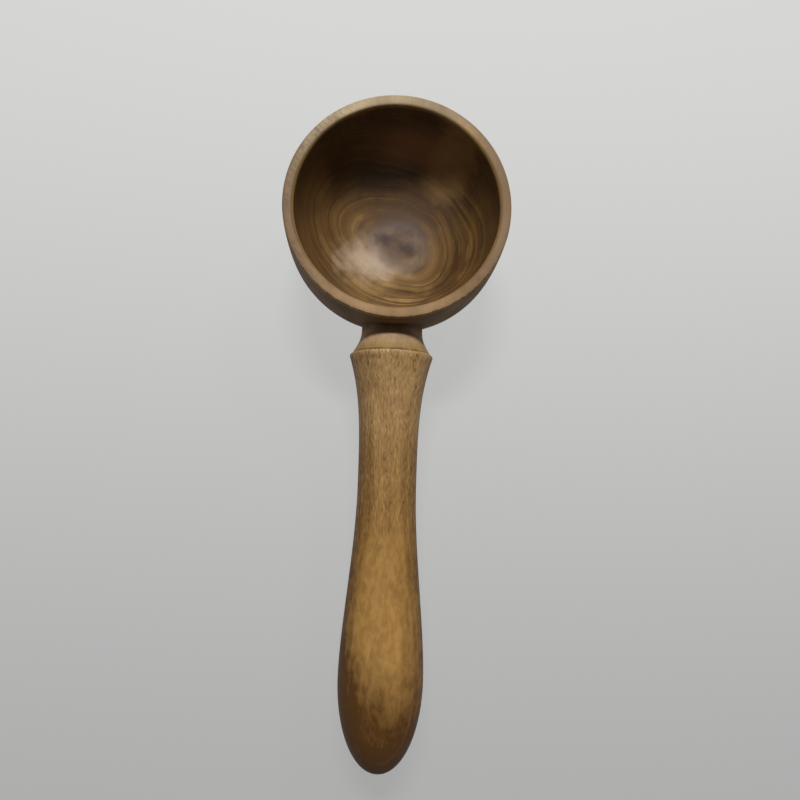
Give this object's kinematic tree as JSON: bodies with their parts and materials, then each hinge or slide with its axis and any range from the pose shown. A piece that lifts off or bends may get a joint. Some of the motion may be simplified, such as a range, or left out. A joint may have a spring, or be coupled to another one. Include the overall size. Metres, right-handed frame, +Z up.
{
  "type": "wooden scoop",
  "caption": "Lathe-turned hardwood scoop: a deep round bowl with a flat rim and a coved neck, dowelled to a turned handle with a waist and a swelling grip.",
  "frame": {"origin": "middle of the bowl's flat foot", "axes": "+Z up along the bowl's axis, out of its mouth; the handle runs along -Y from the bowl; +X to the right of someone who holds the handle and looks into the bowl"},
  "size_m": [0.0756, 0.2203, 0.048],
  "materials": {
    "bowl_wood": "satin oil",
    "handle_wood": "satin oil",
    "dowel_wood": "raw"
  },
  "bodies": {
    "root": {"bowl": "bowl_wood", "handle": "handle_wood", "dowel": "dowel_wood"}
  },
  "joints": []
}
